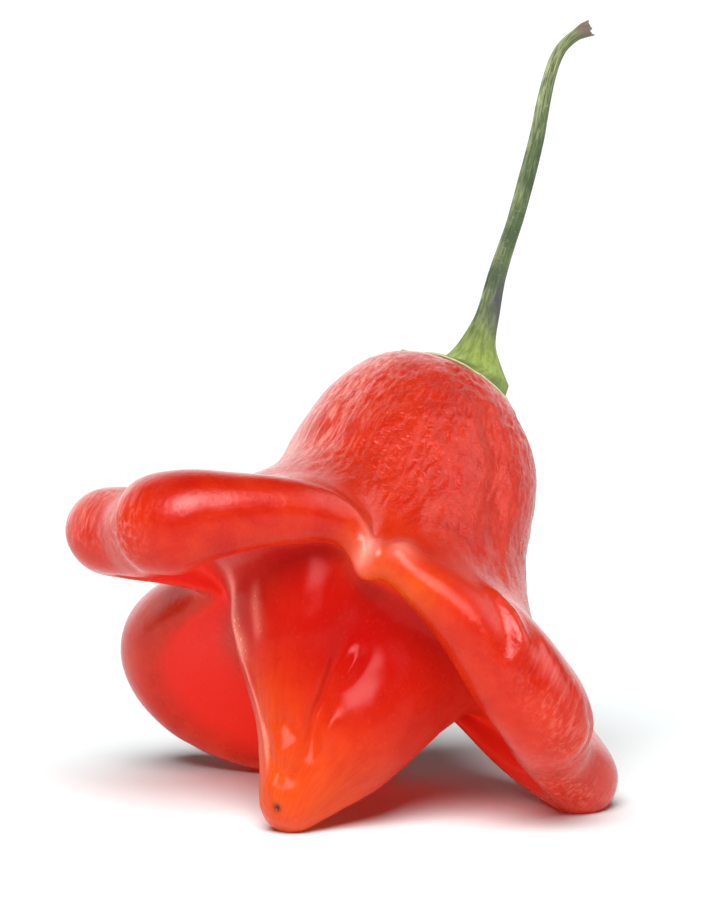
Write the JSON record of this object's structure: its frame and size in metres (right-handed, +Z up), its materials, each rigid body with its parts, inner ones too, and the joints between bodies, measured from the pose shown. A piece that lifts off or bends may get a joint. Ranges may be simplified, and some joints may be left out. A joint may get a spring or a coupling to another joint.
{
  "type": "chilli pepper",
  "caption": "Ripe red bell-shaped chilli pepper with puffy wings and a lobed cone, lying tipped over on its wings, with a green calyx and a long bent stalk.",
  "frame": {"origin": "middle of the footprint of the lying pepper, on the surface it rests on", "axes": "+Z up, the part's longest extent; -Y towards the front, where the cone's tip lies; +X to the right, the way the stalk leans"},
  "size_m": [0.0635, 0.059, 0.0882],
  "materials": {
    "fruit_skin": "glossy ripe red skin, orange towards the tip, with fine wrinkles on the bell",
    "green_stalk": "ribbed satin green, mottled, with a dry brown broken end"
  },
  "bodies": {
    "root": {"fruit": "fruit_skin", "calyx_and_stalk": "green_stalk"}
  },
  "joints": []
}
